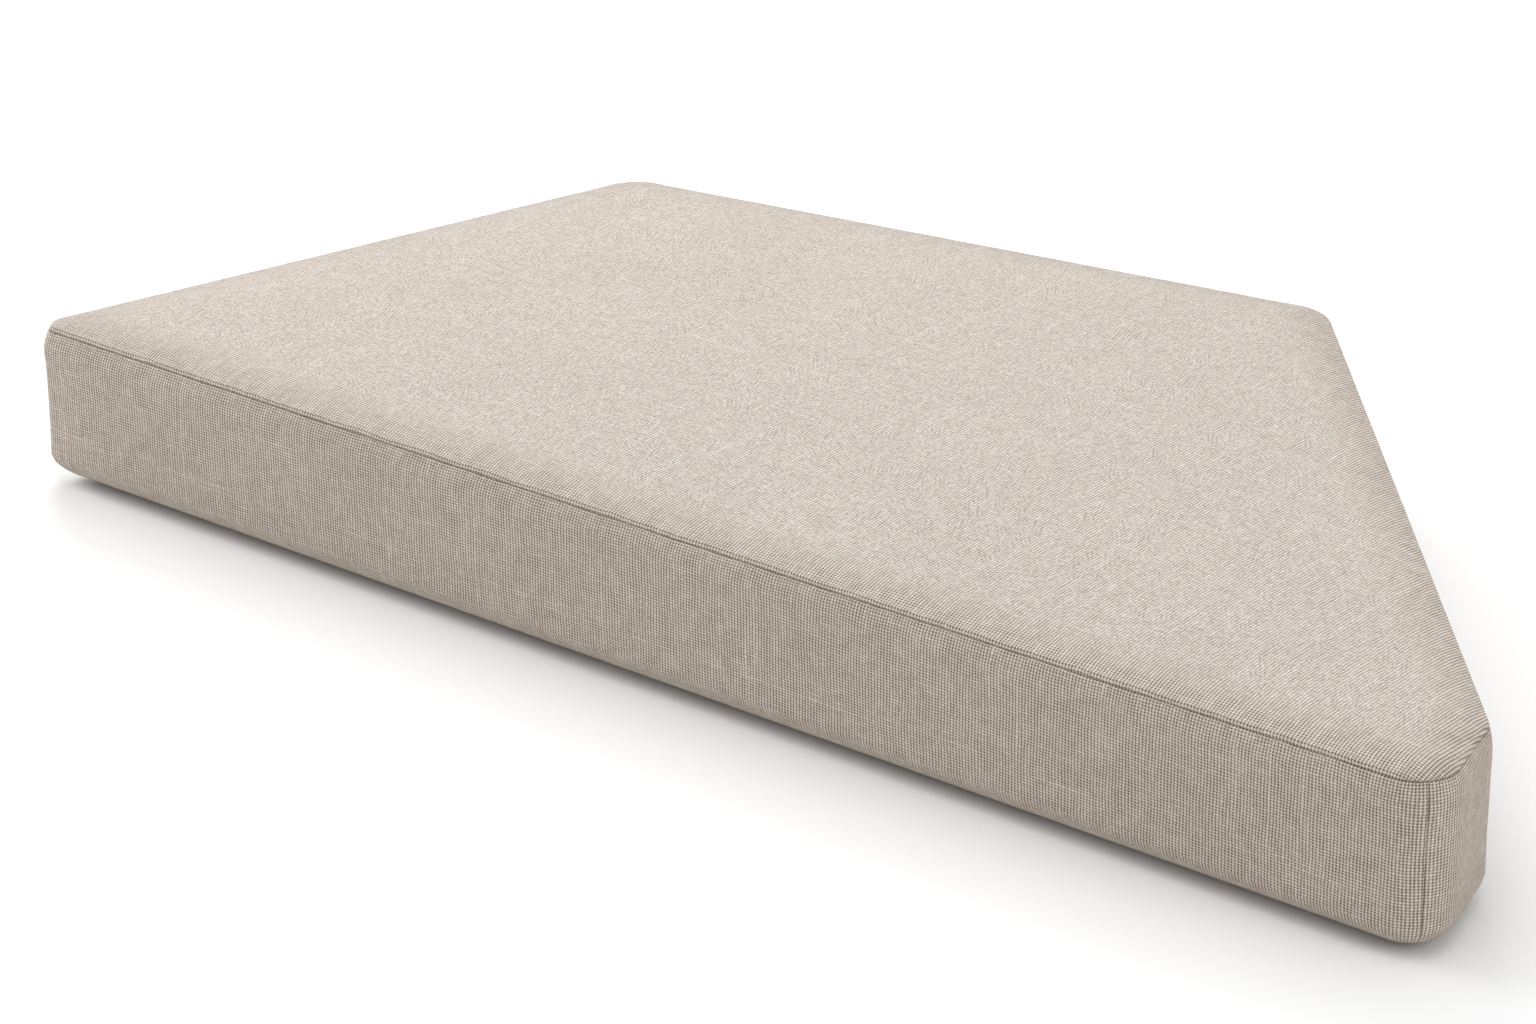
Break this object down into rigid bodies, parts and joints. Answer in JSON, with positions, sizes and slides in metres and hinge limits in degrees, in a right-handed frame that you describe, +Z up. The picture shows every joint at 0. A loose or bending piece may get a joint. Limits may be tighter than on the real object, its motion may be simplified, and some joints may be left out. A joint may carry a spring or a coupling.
{
  "type": "window seat cushion",
  "caption": "Firm box cushion for a window seat, cut to a slanted plan with one sharp end, with plain sewn seams and no piping.",
  "frame": {"origin": "under the middle of the cushion's box, on the surface that it lies on", "axes": "+X along the long front edge towards the sharp end, +Y to the back, +Z up"},
  "size_m": [0.9822, 0.4944, 0.1125],
  "materials": {
    "linen": "plain woven, matte, light warm beige with slubs"
  },
  "bodies": {
    "root": {"cushion": "linen"}
  },
  "joints": []
}
